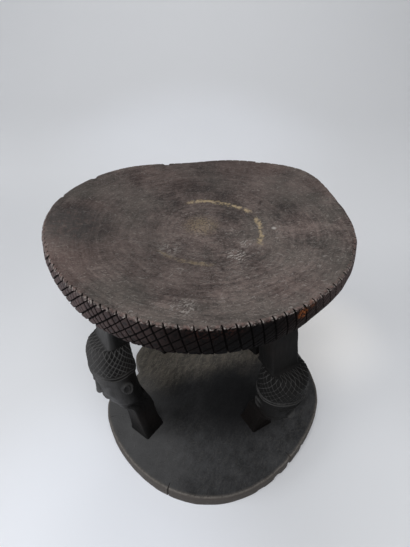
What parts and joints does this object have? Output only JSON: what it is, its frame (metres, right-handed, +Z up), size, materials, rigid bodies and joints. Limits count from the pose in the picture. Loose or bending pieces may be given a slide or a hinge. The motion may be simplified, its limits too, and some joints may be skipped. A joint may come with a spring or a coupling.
{
  "type": "carved wooden stool",
  "caption": "Low carved wooden stool: a shallow dished round seat with a cross-hatched rim, on supports carved as heads that rise from a thick round base.",
  "frame": {"origin": "on the floor under the middle of the seat, on the flat underside of the base", "axes": "+Z up, +X to the right of someone facing the front, +Y to the back"},
  "size_m": [0.3218, 0.3051, 0.2927],
  "materials": {
    "worn_seat_wood": "worn dark brown, dry and scuffed, with growth rings showing",
    "dark_base_wood": "near-black stain, matt with tool marks",
    "dark_support_wood": "near-black stain, low sheen, rubbed on high points"
  },
  "bodies": {
    "root": {"seat": "worn_seat_wood", "base": "dark_base_wood", "support_front_left": "dark_support_wood", "support_front_right": "dark_support_wood", "support_rear_left": "dark_support_wood", "support_rear_right": "dark_support_wood"}
  },
  "joints": []
}
